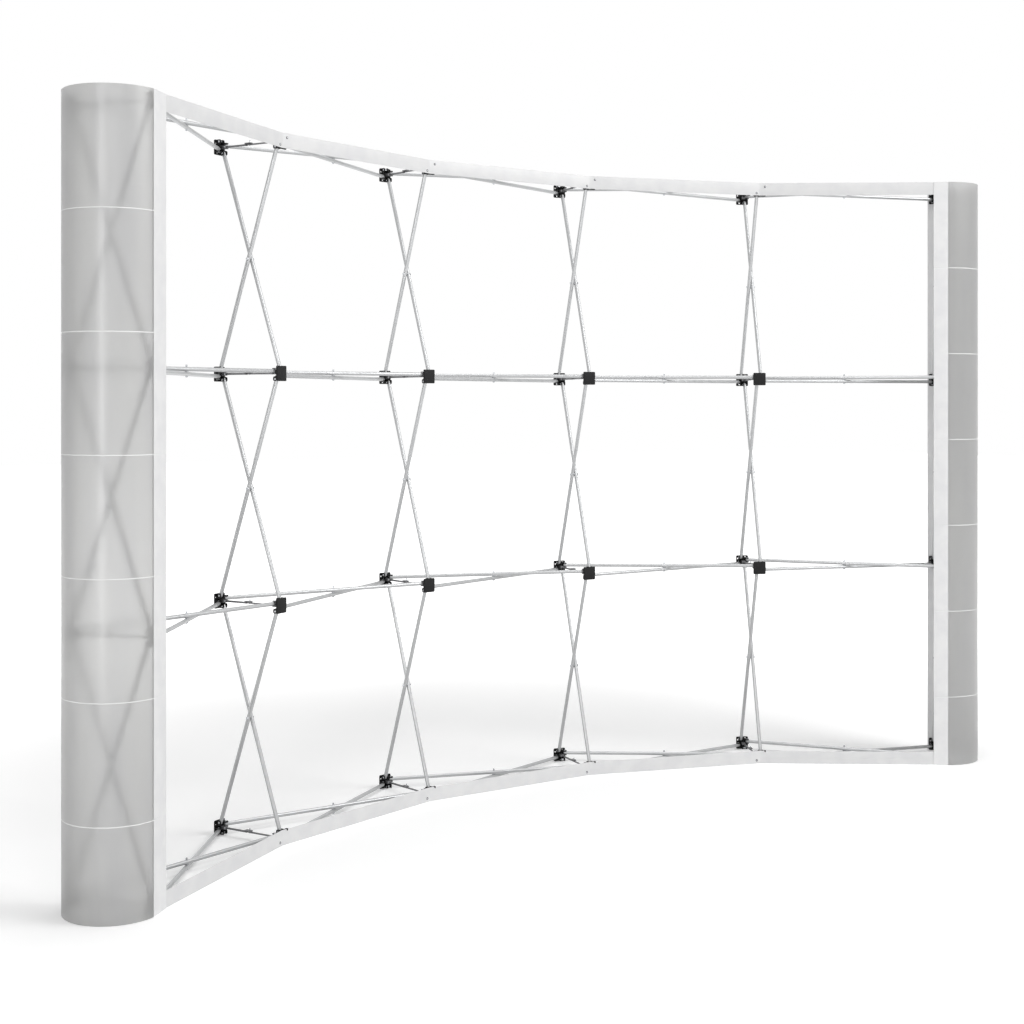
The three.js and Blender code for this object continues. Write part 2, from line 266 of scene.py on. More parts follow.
def start_material(name, colour, roughness, metallic=0.0):
    """A material with its Principled shader set to one plain finish."""
    material = bpy.data.materials.new(name)
    material.use_nodes = True
    shader = material.node_tree.nodes["Principled BSDF"]
    shader.inputs["Base Color"].default_value = linear(colour)
    shader.inputs["Roughness"].default_value = roughness
    shader.inputs["Metallic"].default_value = metallic
    return material, shader


def grain(material, shader, size, depth, low, high, colours=None, stretch=(1, 1, 1)):
    """A fine grain of one real size: it lifts the surface, varies its gloss and, if asked, its colour."""
    place = add(material, "ShaderNodeTexCoord")
    scaled = add(material, "ShaderNodeMapping", {"Scale": stretch}, {"Vector": place.outputs["Object"]})
    noise = add(
        material, "ShaderNodeTexNoise",
        {"Scale": 1 / size, "Detail": 3.0, "Roughness": 0.55},
        {"Vector": scaled.outputs["Vector"]},
    )
    bump = add(
        material, "ShaderNodeBump",
        {"Strength": 0.35, "Distance": depth},
        {"Height": noise.outputs["Fac"]},
    )
    gloss = add(
        material, "ShaderNodeMapRange",
        {"From Min": 0.3, "From Max": 0.7, "To Min": low, "To Max": high},
        {"Value": noise.outputs["Fac"]},
    )
    tree = material.node_tree
    tree.links.new(bump.outputs["Normal"], shader.inputs["Normal"])
    tree.links.new(gloss.outputs["Result"], shader.inputs["Roughness"])
    if colours:
        broad = add(
            material, "ShaderNodeTexNoise",
            {"Scale": 1 / (size * 60), "Detail": 2.0},
            {"Vector": scaled.outputs["Vector"]},
        )
        ramp = add(material, "ShaderNodeValToRGB", None, {"Fac": broad.outputs["Fac"]})
        ramp.color_ramp.elements[0].position = 0.35
        ramp.color_ramp.elements[1].position = 0.65
        ramp.color_ramp.elements[0].color = linear(colours[0])
        ramp.color_ramp.elements[1].color = linear(colours[1])
        tree.links.new(ramp.outputs["Color"], shader.inputs["Base Color"])


# %% [markdown]
# The tubes are extruded aluminium, etched to a satin and anodised clear. The
# etch leaves a grain of about half a millimetre that spreads the highlight
# along the tube, and the clear coat keeps the metal a cool light grey.

# %% Anodised aluminium, for the tubes
anodised_aluminium, shader = start_material("anodised_aluminium", "#b9babb", 0.32, 0.5)
grain(anodised_aluminium, shader, 0.5 * MM, 0.004 * MM, 0.29, 0.35, ("#b7b8b9", "#bbbcbd"))

# %% [markdown]
# The rivets and pivot pins are mild steel, zinc plated, which is brighter and
# a little bluer than the anodised tube.

# %% Zinc plated steel, for rivets and pins
zinc_plate, shader = start_material("zinc_plated_steel", "#b9bbbe", 0.26, 1.0)
grain(zinc_plate, shader, 0.4 * MM, 0.01 * MM, 0.2, 0.34)

# %% [markdown]
# The hubs are moulded in black nylon. The mould is spark eroded, so the skin
# is a fine pebble about 0.7 mm across that turns the black to charcoal where
# light grazes it.

# %% Moulded nylon, for the hubs, and a slightly greyer one for their covers
moulded_nylon, shader = start_material("moulded_black_nylon", "#0c0c0d", 0.5)
shader.inputs["Specular IOR Level"].default_value = 0.25
grain(moulded_nylon, shader, 0.7 * MM, 0.05 * MM, 0.45, 0.6)
cover_nylon, shader = start_material("textured_cover_nylon", "#121213", 0.6)
shader.inputs["Specular IOR Level"].default_value = 0.25
grain(cover_nylon, shader, 0.8 * MM, 0.06 * MM, 0.55, 0.68, ("#101011", "#151516"))

# %% [markdown]
# The lock arms are pressed from steel strip and phosphated. That leaves a fine
# crystal skin, still a metal to the eye, but a dull mid grey.

# %% Phosphated steel, for the lock arms
phosphated_steel, shader = start_material("grey_phosphated_steel", "#757577", 0.42, 0.7)
grain(phosphated_steel, shader, 0.6 * MM, 0.02 * MM, 0.38, 0.5, ("#6e6e70", "#7c7c7e"))

# %% [markdown]
# The strips and the flanges are rigid white PVC sheet with a satin calendered
# face. Rolling leaves a long faint unevenness, a few centimetres across.

# %% Rigid white PVC, for the strips and the flanges
white_pvc, shader = start_material("satin_white_pvc", "#dfdfdf", 0.42)
grain(white_pvc, shader, 0.9 * MM, 0.02 * MM, 0.36, 0.48, ("#dcdcdd", "#e2e2e2"))
flange_pvc, shader = start_material("white_flange_pvc", "#e9e9e9", 0.42)
grain(flange_pvc, shader, 0.9 * MM, 0.02 * MM, 0.36, 0.48, ("#e6e6e7", "#ececec"))

# %% [markdown]
# The bowed sides are frosted polypropylene, thin enough for the nearest hubs
# and tubes to show through as blurs. A rough transmission does that by itself:
# what lies close behind the sheet stays darker and sharper than what lies far.

# %% Frosted polypropylene, for the bowed sides
frosted_sheet, shader = start_material("frosted_polypropylene", "#d0d0cf", 0.3)
grain(frosted_sheet, shader, 1.2 * MM, 0.006 * MM, 0.28, 0.33, ("#cecece", "#d2d2d1"), (1, 1, 0.12))
shader.inputs["Transmission Weight"].default_value = 0.62
shader.inputs["IOR"].default_value = 1.49

# %% [markdown]
# Where the sheet has been rolled for its bag, fold lines have turned pale: the
# plastic crazes there and scatters more light.

# %% Stress whitened polypropylene, for the fold lines
whitened_fold, shader = start_material("stress_whitened_polypropylene", "#efefef", 0.6)
grain(whitened_fold, shader, 0.8 * MM, 0.04 * MM, 0.55, 0.65)

# %% [markdown]
# ## Tubes
#
# Each tube keeps its full roundness up to the hub, where it goes between the
# two ears of a fork. Close up, its end is drawn in a little and closed with a
# blunt round nose. So a tube is a circle carried along its line, with a radius
# that changes only near the two ends.

# %% One tube between two pins
NOSE_LENGTH = 5.5 * MM
NECK_RADIUS = 6.1 * MM
NECK_START = 8 * MM
NECK_END = 11 * MM
TUBE_SIDES = 20


def tube_end():
    """Distance from the pin and radius of each section of an end: a quarter ellipse, the neck, then full size."""
    nose = np.radians([-84, -65, -40, -15])
    share = np.linspace(0, 1, 4)
    ease = share * share * (3 - 2 * share)
    distance = np.concatenate([NOSE_LENGTH * np.sin(nose), NECK_START + (NECK_END - NECK_START) * share])
    radius = np.concatenate([NECK_RADIUS * np.cos(nose) ** 0.6, NECK_RADIUS + (TUBE_RADIUS - NECK_RADIUS) * ease])
    return distance, radius


def tube(pin_a, pin_b, pin_axis, material=0):
    """A tube's rings: along * distance + radius * (side * cos + pin axis * sin)."""
    pin_a, pin_b = np.asarray(pin_a, float), np.asarray(pin_b, float)
    length = np.linalg.norm(pin_b - pin_a)
    along = (pin_b - pin_a) / length
    side = np.cross(pin_axis, along)
    distance, radius = tube_end()
    distance = np.concatenate([distance, length - distance[::-1]])
    radius = np.concatenate([radius, radius[::-1]])
    angle = np.arange(TUBE_SIDES) * 2 * math.pi / TUBE_SIDES
    circle = np.cos(angle)[:, None] * side + np.sin(angle)[:, None] * np.asarray(pin_axis, float)
    rings = pin_a + distance[:, None, None] * along + radius[:, None, None] * circle
    return skin(rings, material)


# %% [markdown]
# ## Rivets
#
# Where two tubes cross, a rivet with a washer between them lets them fold. On
# the level pairs its tail stands up as a narrow pin and its head is a dome
# below. On the upright pairs both sides are domes.

# %% A rivet through two crossing tubes
RIVET_RADIUS = 3 * MM
RIVET_HEAD_RADIUS = 5 * MM
RIVET_HEAD_HEIGHT = 4.5 * MM
RIVET_TAIL_HEIGHT = 7 * MM
WASHER_RADIUS = 6.2 * MM
WASHER_THICK = 1.3 * MM
WASHER_EDGE = 0.2 * MM
CROSSING_REACH = TUBE_OFFSET + TUBE_RADIUS


def dome(start, height, radius, steps=5):
    """A head's profile: radius * cos against height * sin, from its rim to its crown."""
    turn = np.linspace(0, math.radians(80), steps)
    return [(radius * math.cos(t), start + height * math.sin(t)) for t in turn]


def rivet(place, axis, tail):
    """A rivet and its washer, centred between the tubes, with a tail or a second head on its far end."""
    rim = CROSSING_REACH - 0.6 * MM
    head = [(radius, -height) for radius, height in dome(rim, RIVET_HEAD_HEIGHT, RIVET_HEAD_RADIUS)]
    if tail:
        tip = CROSSING_REACH + RIVET_TAIL_HEIGHT
        far = [(RIVET_RADIUS, tip - 1 * MM), (RIVET_RADIUS * 0.8, tip - 0.3 * MM), (RIVET_RADIUS * 0.4, tip)]
    else:
        far = dome(rim, RIVET_HEAD_HEIGHT, RIVET_HEAD_RADIUS)
    shank = [(RIVET_RADIUS, -rim + 0.2 * MM), (RIVET_RADIUS, rim - 0.2 * MM)]
    profile = head[::-1] + shank + far
    half = WASHER_THICK / 2
    ring = [
        (WASHER_RADIUS - WASHER_EDGE, -half),
        (WASHER_RADIUS, -half / 2),
        (WASHER_RADIUS, half / 2),
        (WASHER_RADIUS - WASHER_EDGE, half),
    ]
    side = np.cross(axis, [0.3, 0.5, 0.81])
    side /= np.linalg.norm(side)
    other = np.cross(axis, side)
    return [skin(lay(turned(shape), place, side, other), 1) for shape in (profile, ring)]


# %% [markdown]
# ## Hubs
#
# A hub is one moulding: a square plate, and four forks on its inner side that
# stand round it like a pinwheel, so that the tubes of a pair pass each other.
# One quarter of it is enough. The plate's quarter is a patch between a round
# hole and the plate's edge, the fork is two ears with a pin through them, and
# turning the quarter three times by a right angle gives the rest.

# %% A quarter of the hub's plate, and the plate
PLATE_THICK = 4 * MM
PLATE_CORNER = 4 * MM
HOLE_RADIUS = 3.2 * MM
HOLE_MIDDLE = np.array([18.2, 11.5]) * MM
SIDE_STEPS = 5
CORNER_STEPS = 5


def quarter_outline():
    """The quarter's edge: up the side, round the corner, along the top and back down both seams."""
    half = HUB_SIDE / 2
    straight = np.linspace(0, half - PLATE_CORNER, SIDE_STEPS)
    side = np.column_stack([np.full(SIDE_STEPS, half), straight])
    turn = np.linspace(0, math.pi / 2, CORNER_STEPS + 2)[1:-1]
    middle = half - PLATE_CORNER
    corner = middle + PLATE_CORNER * np.column_stack([np.cos(turn), np.sin(turn)])
    top = side[::-1, ::-1]
    seam = np.linspace(half, 0, SIDE_STEPS + 2)
    left = np.column_stack([np.zeros(SIDE_STEPS + 1), seam[1:]])
    bottom = np.column_stack([seam[::-1][1:-1], np.zeros(SIDE_STEPS)])
    return np.concatenate([side, corner, top, left, bottom]), 2 * SIDE_STEPS + CORNER_STEPS


def hub_plate(near, far):
    """The plate between two depths: faces from hole to edge, the hole's wall and the outer edge's wall."""
    edge, outer = quarter_outline()
    away = edge - HOLE_MIDDLE
    hole = HOLE_MIDDLE + HOLE_RADIUS * away / np.linalg.norm(away, axis=1)[:, None]
    count = len(edge)
    flat = np.concatenate([hole, edge])
    points = np.concatenate([np.insert(flat, 1, depth, axis=1) for depth in (near, far)])
    index = np.arange(count)
    after = np.roll(index, -1)
    front = np.stack([index, after, after + count, index + count], -1)
    back = front + 2 * count
    wall = np.stack([index, after, after + 2 * count, index + 2 * count], -1)
    rim = (np.stack([index, after, after + 2 * count, index + 2 * count], -1) + count)[: outer - 1]
    faces = np.concatenate([front, back, wall, rim])
    quarters, all_faces = [], []
    for turn in range(4):
        quarters.append(quarter_turn(points, turn))
        all_faces.append(faces + turn * len(points))
    return weld(np.concatenate(quarters), np.concatenate(all_faces))


def quarter_turn(points, turns):
    """Points turned about the hub's own axis by right angles: (x, z) becomes (-z, x) each time."""
    turned_points = np.array(points, float)
    for _ in range(turns):
        turned_points = np.stack([-turned_points[..., 2], turned_points[..., 1], turned_points[..., 0]], -1)
    return turned_points


def weld(points, faces):
    """Points that fall on one place, to a micrometre, become one, so that the seams close."""
    _, first, new_index = np.unique(np.round(points, 6), axis=0, return_index=True, return_inverse=True)
    return points[first], np.asarray(new_index).reshape(-1)[faces].tolist(), [0] * len(faces)


# %% [markdown]
# The ears are plates with well rounded ends, and each pin has a low dome on
# both ears. A front hub also has a cover on its face, a shallow cap with a
# wide bevel, which is what the photograph shows as a dark square.

# %% A whole hub, in its own frame
EAR_THICK = 2.6 * MM
EAR_LENGTH = 15 * MM
SLOT_HALF = 6.8 * MM
PIN_RADIUS = 2.5 * MM
PIN_HEAD_RADIUS = 3.6 * MM
PIN_SIDES = 12
EAR_CORNER = 5 * MM
EAR_START = 1.5 * MM
RIB_SIZE = (3 * MM, 12 * MM, 7 * MM)
RIB_PLACE = (8 * MM, -14 * MM)
BLOCK_SIDE = 15 * MM
BLOCK_HEIGHT = 9 * MM
ROOTED = 0.5 * MM
COVER_RECESS = 0.8 * MM
COVER_BEVEL = 1.1 * MM
COVER_THICK = 1.4 * MM
COVER_SIDE = 45 * MM


def fork():
    """The fork on the right: two ears either side of a level slot, with their pin."""
    long = EAR_END - EAR_START
    ear = slab(EAR_LENGTH, long, EAR_CORNER, EAR_THICK, 0.5 * MM)
    middle = [HUB_SIDE / 2 - EAR_LENGTH / 2, EAR_START + long / 2]
    bodies = []
    for low in (SLOT_HALF, -SLOT_HALF - EAR_THICK):
        bodies.append(skin(ear + [*middle, low - TUBE_OFFSET]))
    reach = SLOT_HALF + EAR_THICK
    cap = dome(reach - 0.2 * MM, 1.1 * MM, PIN_HEAD_RADIUS, 4)
    profile = [(radius, -height) for radius, height in cap][::-1]
    profile += [(PIN_RADIUS, -reach + 0.1 * MM), (PIN_RADIUS, reach - 0.1 * MM)] + cap
    pin = turned(profile, PIN_SIDES) + [PIN_OFFSET, PIN_SETBACK, -TUBE_OFFSET]
    bodies.append(skin(pin, 1))
    return bodies


def web():
    """The rib that ties the fork to its neighbour, along the plate's inner side."""
    width, length, height = RIB_SIZE
    rib = slab(width, length, 1 * MM, height, 0.4 * MM)
    return skin(lay(rib, [RIB_PLACE[0], PLATE_THICK - ROOTED, RIB_PLACE[1]], [1, 0, 0], [0, 0, -1]))


def hub(covered):
    """All bodies of a hub with its face on y = 0: plate, four forks with pins, ribs and centre block."""
    near = COVER_RECESS if covered else 0.0
    bodies = [hub_plate(near, PLATE_THICK)]
    for turn in range(4):
        for points, faces, numbers in [*fork(), web()]:
            bodies.append((quarter_turn(points, turn), faces, numbers))
    block = slab(BLOCK_SIDE, BLOCK_SIDE, 2 * MM, BLOCK_HEIGHT, 0.6 * MM)
    bodies.append(skin(lay(block, [0, PLATE_THICK - ROOTED, 0], [1, 0, 0], [0, 0, -1])))
    if covered:
        cover = slab(COVER_SIDE, COVER_SIDE, PLATE_CORNER, COVER_THICK, COVER_BEVEL)
        bodies.append(skin(lay(cover, [0, 0, 0], [1, 0, 0], [0, 0, -1]), 2))
    return bodies


def half_turn(points):
    """A front hub's points turned to be a back hub: half a turn about the upright, at the wall's depth."""
    return np.asarray(points) * [-1, -1, 1] + [0, WALL_DEPTH, 0]


front_hub = hub(covered=True)
back_hub = hub(covered=False)
print("points in a front hub:", sum(len(points) for points, _, _ in front_hub))

# %% [markdown]
# ## Lock arms
#
# When the wall is pulled open, the front half of each lock arm slides under
# the rear half, and a catch drops over a peg. The rear half turns on a pin in
# the back hub, so it is a body of its own in the frame. The front half is
# fixed to the front hub.

# %% The fixed front half of a lock arm, and the lugs of the rear half
ARM_WIDTH = 5 * MM
FRONT_ARM_HEIGHT = 5 * MM
REAR_ARM_HEIGHT = 6 * MM
PEG_DEPTH = WALL_DEPTH / 2
PEG_SIDE = 4 * MM
PEG_RADIUS = 1.8 * MM
PEG_HEIGHT = 12 * MM
ARM_PAST_PEG = 4 * MM
ARM_CORNER = 1.2 * MM
LUG_THICK = 3 * MM
LUG_HEIGHT = 10 * MM
LUG_CORNER = 4.5 * MM
LUG_PAST_PIN = 5 * MM
LUG_PIN_RADIUS = 2 * MM
LUG_HEAD_RADIUS = 2.9 * MM


def bar(start, end, width, height, corner):
    """A bar along the column's depth, with round edges."""
    shape = slab(width, height, corner, end - start, 0.7 * MM)
    return lay(shape, [0, start, 0], [1, 0, 0], [0, 0, -1])


def front_arm():
    """A bar from the front hub to just past the middle, with an upright pin riveted in as its peg."""
    end = PEG_DEPTH + PEG_SIDE / 2 + ARM_PAST_PEG
    top = FRONT_ARM_HEIGHT / 2 + PEG_HEIGHT
    tip = [(radius, height) for radius, height in dome(top - 1 * MM, 1 * MM, PEG_RADIUS, 4)]
    foot = -FRONT_ARM_HEIGHT / 2 - 0.8 * MM
    collar = PEG_RADIUS * 1.4
    root = [(PEG_RADIUS * 0.8, foot), (collar, foot + 0.4 * MM), (collar, 0), (PEG_RADIUS, 0)]
    peg = turned(root + tip, PIN_SIDES)
    return [
        skin(bar(PLATE_THICK, end, ARM_WIDTH, FRONT_ARM_HEIGHT, ARM_CORNER)),
        skin(peg + [0, PEG_DEPTH, 0], 1),
    ]


def lugs():
    """Two cheeks on the back hub with the rear half's pin through them."""
    start = ARM_PIVOT_DEPTH - LUG_PAST_PIN
    end = WALL_DEPTH - EAR_START
    cheek = slab(end - start, LUG_HEIGHT, LUG_CORNER, LUG_THICK, 0.5 * MM)
    inner = ARM_WIDTH / 2 + SEAT_GAP
    middle = (end + start) / 2
    bodies = []
    for low in (inner, -inner - LUG_THICK):
        bodies.append(skin(lay(cheek, [low, middle, 0], [0, 1, 0], [0, 0, 1])))
    reach = inner + LUG_THICK
    cap = dome(reach - 0.2 * MM, 0.9 * MM, LUG_HEAD_RADIUS, 4)
    profile = [(radius, -height) for radius, height in cap][::-1]
    profile += [(LUG_PIN_RADIUS, -reach + 0.1 * MM), (LUG_PIN_RADIUS, reach - 0.1 * MM)] + cap
    pin = lay(turned(profile, PIN_SIDES), [0, ARM_PIVOT_DEPTH, 0], [0, 1, 0], [0, 0, 1])
    bodies.append(skin(pin, 1))
    return bodies


# %% [markdown]
# The rear half ends in a plate with a window that the peg stands in. The plate
# is a loop: four points (outer low, outer high, inner high, inner low) are
# carried once round, between an outer and an inner outline of equal count. A
# small bright tab leans back from it, to lift the arm off its peg by.

# %% The rear half of a lock arm
CATCH_THICK = 3 * MM
CATCH_CLEARANCE = 1.2 * MM
CATCH_WALL = 4 * MM
CATCH_ROOT = 8 * MM
ARM_END_GAP = 4 * MM
TAB_LENGTH = 11 * MM
TAB_THICK = 1.4 * MM
TAB_LEAN = math.radians(40)


def catch_plate(near, far):
    """A plate round the peg: a loop of four points between its outline and its window."""
    window = PEG_SIDE + 2 * CATCH_CLEARANCE
    width = window + 2 * CATCH_WALL
    outer = rounded_outline(width, far - near, 3 * MM, 5) + [0, (near + far) / 2]
    inner = rounded_outline(window, window, 1 * MM, 5) + [0, PEG_DEPTH]
    low = FRONT_ARM_HEIGHT / 2 + SEAT_GAP
    high = low + CATCH_THICK
    loop = [
        np.column_stack([outer, np.full(len(outer), low)]),
        np.column_stack([outer, np.full(len(outer), high)]),
        np.column_stack([inner, np.full(len(inner), high)]),
        np.column_stack([inner, np.full(len(inner), low)]),
    ]
    return skin(np.array(loop), loop=True)


def rear_arm():
    """The eye, the bar and the catch of the half that swings up."""
    bar_end = PEG_DEPTH + PEG_SIDE / 2 + ARM_PAST_PEG + ARM_END_GAP
    catch_start = PEG_DEPTH - PEG_SIDE / 2 - CATCH_CLEARANCE - CATCH_WALL
    catch_top = FRONT_ARM_HEIGHT / 2 + SEAT_GAP + CATCH_THICK
    half = ARM_WIDTH / 2
    eye = [
        (ARM_EYE_RADIUS - 0.4 * MM, -half),
        (ARM_EYE_RADIUS, -half + 0.4 * MM),
        (ARM_EYE_RADIUS, half - 0.4 * MM),
        (ARM_EYE_RADIUS - 0.4 * MM, half),
    ]
    root_height = REAR_ARM_HEIGHT / 2 + catch_top
    root = lay(
        slab(ARM_WIDTH, root_height, ARM_CORNER, CATCH_ROOT, 0.7 * MM),
        [0, bar_end, catch_top - root_height / 2], [1, 0, 0], [0, 0, -1],
    )
    tab = lay(
        slab(ARM_WIDTH * 0.8, TAB_THICK, 0.6 * MM, TAB_LENGTH, 0.4 * MM),
        [0, bar_end - 1 * MM, catch_top - 1 * MM],
        [1, 0, 0], [0, -math.cos(TAB_LEAN), math.sin(TAB_LEAN)],
    )
    return [
        skin(lay(turned(eye, 20), [0, ARM_PIVOT_DEPTH, 0], [0, 1, 0], [0, 0, 1])),
        skin(bar(bar_end, ARM_PIVOT_DEPTH, ARM_WIDTH, REAR_ARM_HEIGHT, ARM_CORNER)),
        skin(root),
        skin(tab, 1),
        catch_plate(catch_start, bar_end + CATCH_ROOT),
    ]


def moved(bodies, column, height=0.0, change=None):
    """Bodies of a column's own frame, lifted and set in place."""
    result = []
    for points, faces, numbers in bodies:
        points = change(points) if change else points
        result.append((at(points + [0, 0, height], column), faces, numbers))
    return result


# %% [markdown]
# ## The columns
#
# A column's CAD node is one solid, because its hubs and tubes would otherwise
# pass the limit on solids. Here it is taken apart again: hubs, tubes, rivets
# and arms are pieces of their own, and together they stand for that node.

# %% Build the six columns
def upright_tubes(column):
    """The two tubes of each row, which lean opposite ways and pass side by side."""
    bodies = []
    back = WALL_DEPTH - PIN_SETBACK
    pin_axis = station(column)[1][0]
    for level in range(1, LEVELS):
        low = hub_height(level) + PIN_OFFSET
        high = hub_height(level + 1) - PIN_OFFSET
        leaning = at([[TUBE_OFFSET, PIN_SETBACK, low], [TUBE_OFFSET, back, high]], column)
        crossing = at([[-TUBE_OFFSET, back, low], [-TUBE_OFFSET, PIN_SETBACK, high]], column)
        bodies += [tube(*leaning, pin_axis), tube(*crossing, pin_axis)]
    return bodies


def upright_rivets(column):
    """A rivet where the two tubes of each row cross, half way up and half way in."""
    bodies = []
    for level in range(1, LEVELS):
        height = (hub_height(level) + hub_height(level + 1)) / 2
        place = at([0, WALL_DEPTH / 2, height], column)
        bodies += rivet(place, station(column)[1][0], tail=False)
    return bodies


for column in range(1, COLUMNS + 1):
    node = f"column_frame_{column}"
    hubs, arms = [], []
    for level in range(1, LEVELS + 1):
        height = hub_height(level)
        hubs += moved(front_hub, column, height)
        hubs += moved(back_hub, column, height, half_turn)
        arms += moved(front_arm() + lugs(), column, height)
    make_piece(f"hubs_column_{column}", hubs, [moulded_nylon, zinc_plate, cover_nylon], "wall_frame", [node])
    make_piece(f"tubes_column_{column}", upright_tubes(column), [anodised_aluminium], "wall_frame", [node])
    make_piece(f"rivets_column_{column}", upright_rivets(column), [zinc_plate, zinc_plate], "wall_frame", [node])
    make_piece(f"front_arms_column_{column}", arms, [phosphated_steel, zinc_plate], "wall_frame", [node])
    for level in range(1, LEVELS + 1):
        name = f"lock_arm_c{column}_l{level}"
        make_piece(
            f"rear_arm_c{column}_l{level}", moved(rear_arm(), column, hub_height(level)),
            [phosphated_steel, zinc_plate], name, [name],
        )

# %% [markdown]
# ## The level pairs
#
# Between two columns, one tube runs from the left front hub to the right back
# hub and the other from the right front hub to the left back hub. They lie one
# above the other and cross a little in front of the middle, because the front
# hubs stand closer together than the back ones.

# %% Build the crossed pairs of each bay
def level_pair(bay, level):
    """Both tubes of a pair and the rivet at the point where they cross in plan."""
    height = hub_height(level)
    back = WALL_DEPTH - PIN_SETBACK
    low, high = height - TUBE_OFFSET, height + TUBE_OFFSET
    lower = [at([PIN_OFFSET, PIN_SETBACK, low], bay), at([-PIN_OFFSET, back, low], bay + 1)]
    upper = [at([-PIN_OFFSET, PIN_SETBACK, high], bay + 1), at([PIN_OFFSET, back, high], bay)]
    front = np.linalg.norm(lower[0][:2] - upper[0][:2])
    rear = np.linalg.norm(lower[1][:2] - upper[1][:2])
    place = lower[0] + (lower[1] - lower[0]) * front / (front + rear)
    place[2] = height
    return [tube(*lower, UP), tube(*upper, UP), *rivet(place, UP, tail=True)]


for bay in range(1, COLUMNS):
    for level in range(1, LEVELS + 1):
        make_piece(
            f"level_pair_b{bay}_l{level}", level_pair(bay, level),
            [anodised_aluminium, zinc_plate], "wall_frame", [f"cross_pair_b{bay}_l{level}"],
        )

# %% [markdown]
# ## The fascia strips
#
# A strip is one long ribbon that bends a little at each column. Its section, a
# thin rounded upright, is carried along a path through the columns. At each
# bend three sections lie close together, so the corner is a tight curve and
# not a crease.

# %% Build the two strips
STRIP_SOFT_BEND = 4 * MM


def strip_path():
    """Plan points just in front of the hubs' faces: bends at the columns, ends cut short."""
    gap = -SEAT_GAP - STRIP_THICK / 2 / math.cos(BAY_ANGLE / 2)
    corners = np.array([at([0, gap, 0], column) for column in range(1, COLUMNS + 1)])
    steps = np.diff(corners, axis=0)
    steps /= np.linalg.norm(steps, axis=1)[:, None]
    soft = steps * STRIP_SOFT_BEND
    points = [corners[0] + steps[0] * STRIP_SHORT]
    for index in range(1, COLUMNS - 1):
        corner = corners[index]
        points += [corner - soft[index - 1], corner, corner + soft[index]]
    points.append(corners[-1] - steps[-1] * STRIP_SHORT)
    return np.array(points)


def strip(bottom):
    """The strip's section set square to the path at each of its points."""
    path = strip_path()
    ahead = np.gradient(path, axis=0)
    ahead /= np.linalg.norm(ahead, axis=1)[:, None]
    across = np.cross(UP, ahead)
    section = rounded_outline(STRIP_THICK, STRIP_HEIGHT, 0.5 * MM, 4)
    rings = (
        path[:, None, :]
        + section[None, :, 0, None] * across[:, None, :]
        + section[None, :, 1, None] * UP
        + UP * (bottom + STRIP_HEIGHT / 2)
    )
    return skin(rings)


make_piece("strip_foot", [strip(SEAT_GAP)], [white_pvc], "wall_frame", ["fascia_bottom"])
make_piece("strip_top", [strip(WALL_TOP - STRIP_HEIGHT)], [white_pvc], "wall_frame", ["fascia_top"])

# %% [markdown]
# Two fixings at each inner column hold a strip to its hub: one at the upper
# right and one at the lower left. They are round heads on small washers, and
# at the foot the upper one is a hook that curls over the strip's edge. Beside
# a column the strip leans towards the eye, and the fixings stand on its face.

# %% Hooks and pins that hold the strips
WASHER_OUTER = 4.2 * MM
HEAD_RADIUS = 2.7 * MM
SHANK_RADIUS = 1.6 * MM
FIXING_ACROSS = (20 * MM, -13 * MM)
FIXING_HEIGHT = (13 * MM, -12 * MM)
HOOK_WIDTH = 5 * MM
HOOK_THICK = 2 * MM
HOOK_LIP = 7 * MM


def strip_front(across):
    """Depth of the strip's face: gap and thickness, plus distance * tan of half a bay's angle."""
    half_bay = BAY_ANGLE / 2
    return -SEAT_GAP - STRIP_THICK / math.cos(half_bay) - abs(across) * math.tan(half_bay)


def pin_head(across, height):
    """A washer and a domed head on the strip's face, on a shank that ends in the hub's cover."""
    front = strip_front(across)
    washer = [(0.6, -0.2), (1, -0.2), (1, 0.5), (0.92, 0.8), (0.6, 0.8)]
    washer = turned([(radius * WASHER_OUTER, level * MM) for radius, level in washer], 14)
    head = [(SHANK_RADIUS, front), (SHANK_RADIUS, 0.6 * MM), (HEAD_RADIUS, 0.7 * MM)]
    head = turned(head + dome(0.8 * MM, 1.3 * MM, HEAD_RADIUS, 4), 14)
    place = [across, front, height]
    return [skin(lay(washer, place, [1, 0, 0], [0, 0, 1])), skin(lay(head, place, [1, 0, 0], [0, 0, 1]), 1)]


def hook(across, edge):
    """A bar over the strip's upper edge, and a lip that hangs down its face."""
    front = strip_front(across) - 0.1 * MM
    bar_depth = HOOK_THICK - front
    over = slab(HOOK_WIDTH, HOOK_THICK, 0.9 * MM, bar_depth, 0.4 * MM)
    over = lay(over, [across, 0, edge + HOOK_THICK / 2], [1, 0, 0], [0, 0, 1])
    lip = slab(HOOK_WIDTH, HOOK_LIP, 2.2 * MM, HOOK_THICK, 0.6 * MM)
    lip = lay(lip, [across, front, edge + HOOK_THICK - HOOK_LIP / 2], [1, 0, 0], [0, 0, 1])
    return [skin(over), skin(lip)]


fixings = []
foot_edge = SEAT_GAP + STRIP_HEIGHT - hub_height(1)
for column in range(2, COLUMNS):
    high = pin_head(FIXING_ACROSS[0], FIXING_HEIGHT[0]) + pin_head(FIXING_ACROSS[1], FIXING_HEIGHT[1])
    low = hook(FIXING_ACROSS[0], foot_edge) + pin_head(FIXING_ACROSS[1], FIXING_HEIGHT[1])
    fixings += moved(high, column, hub_height(LEVELS)) + moved(low, column, hub_height(1))
make_piece("strip_fixings", fixings, [moulded_nylon, zinc_plate], "wall_frame")

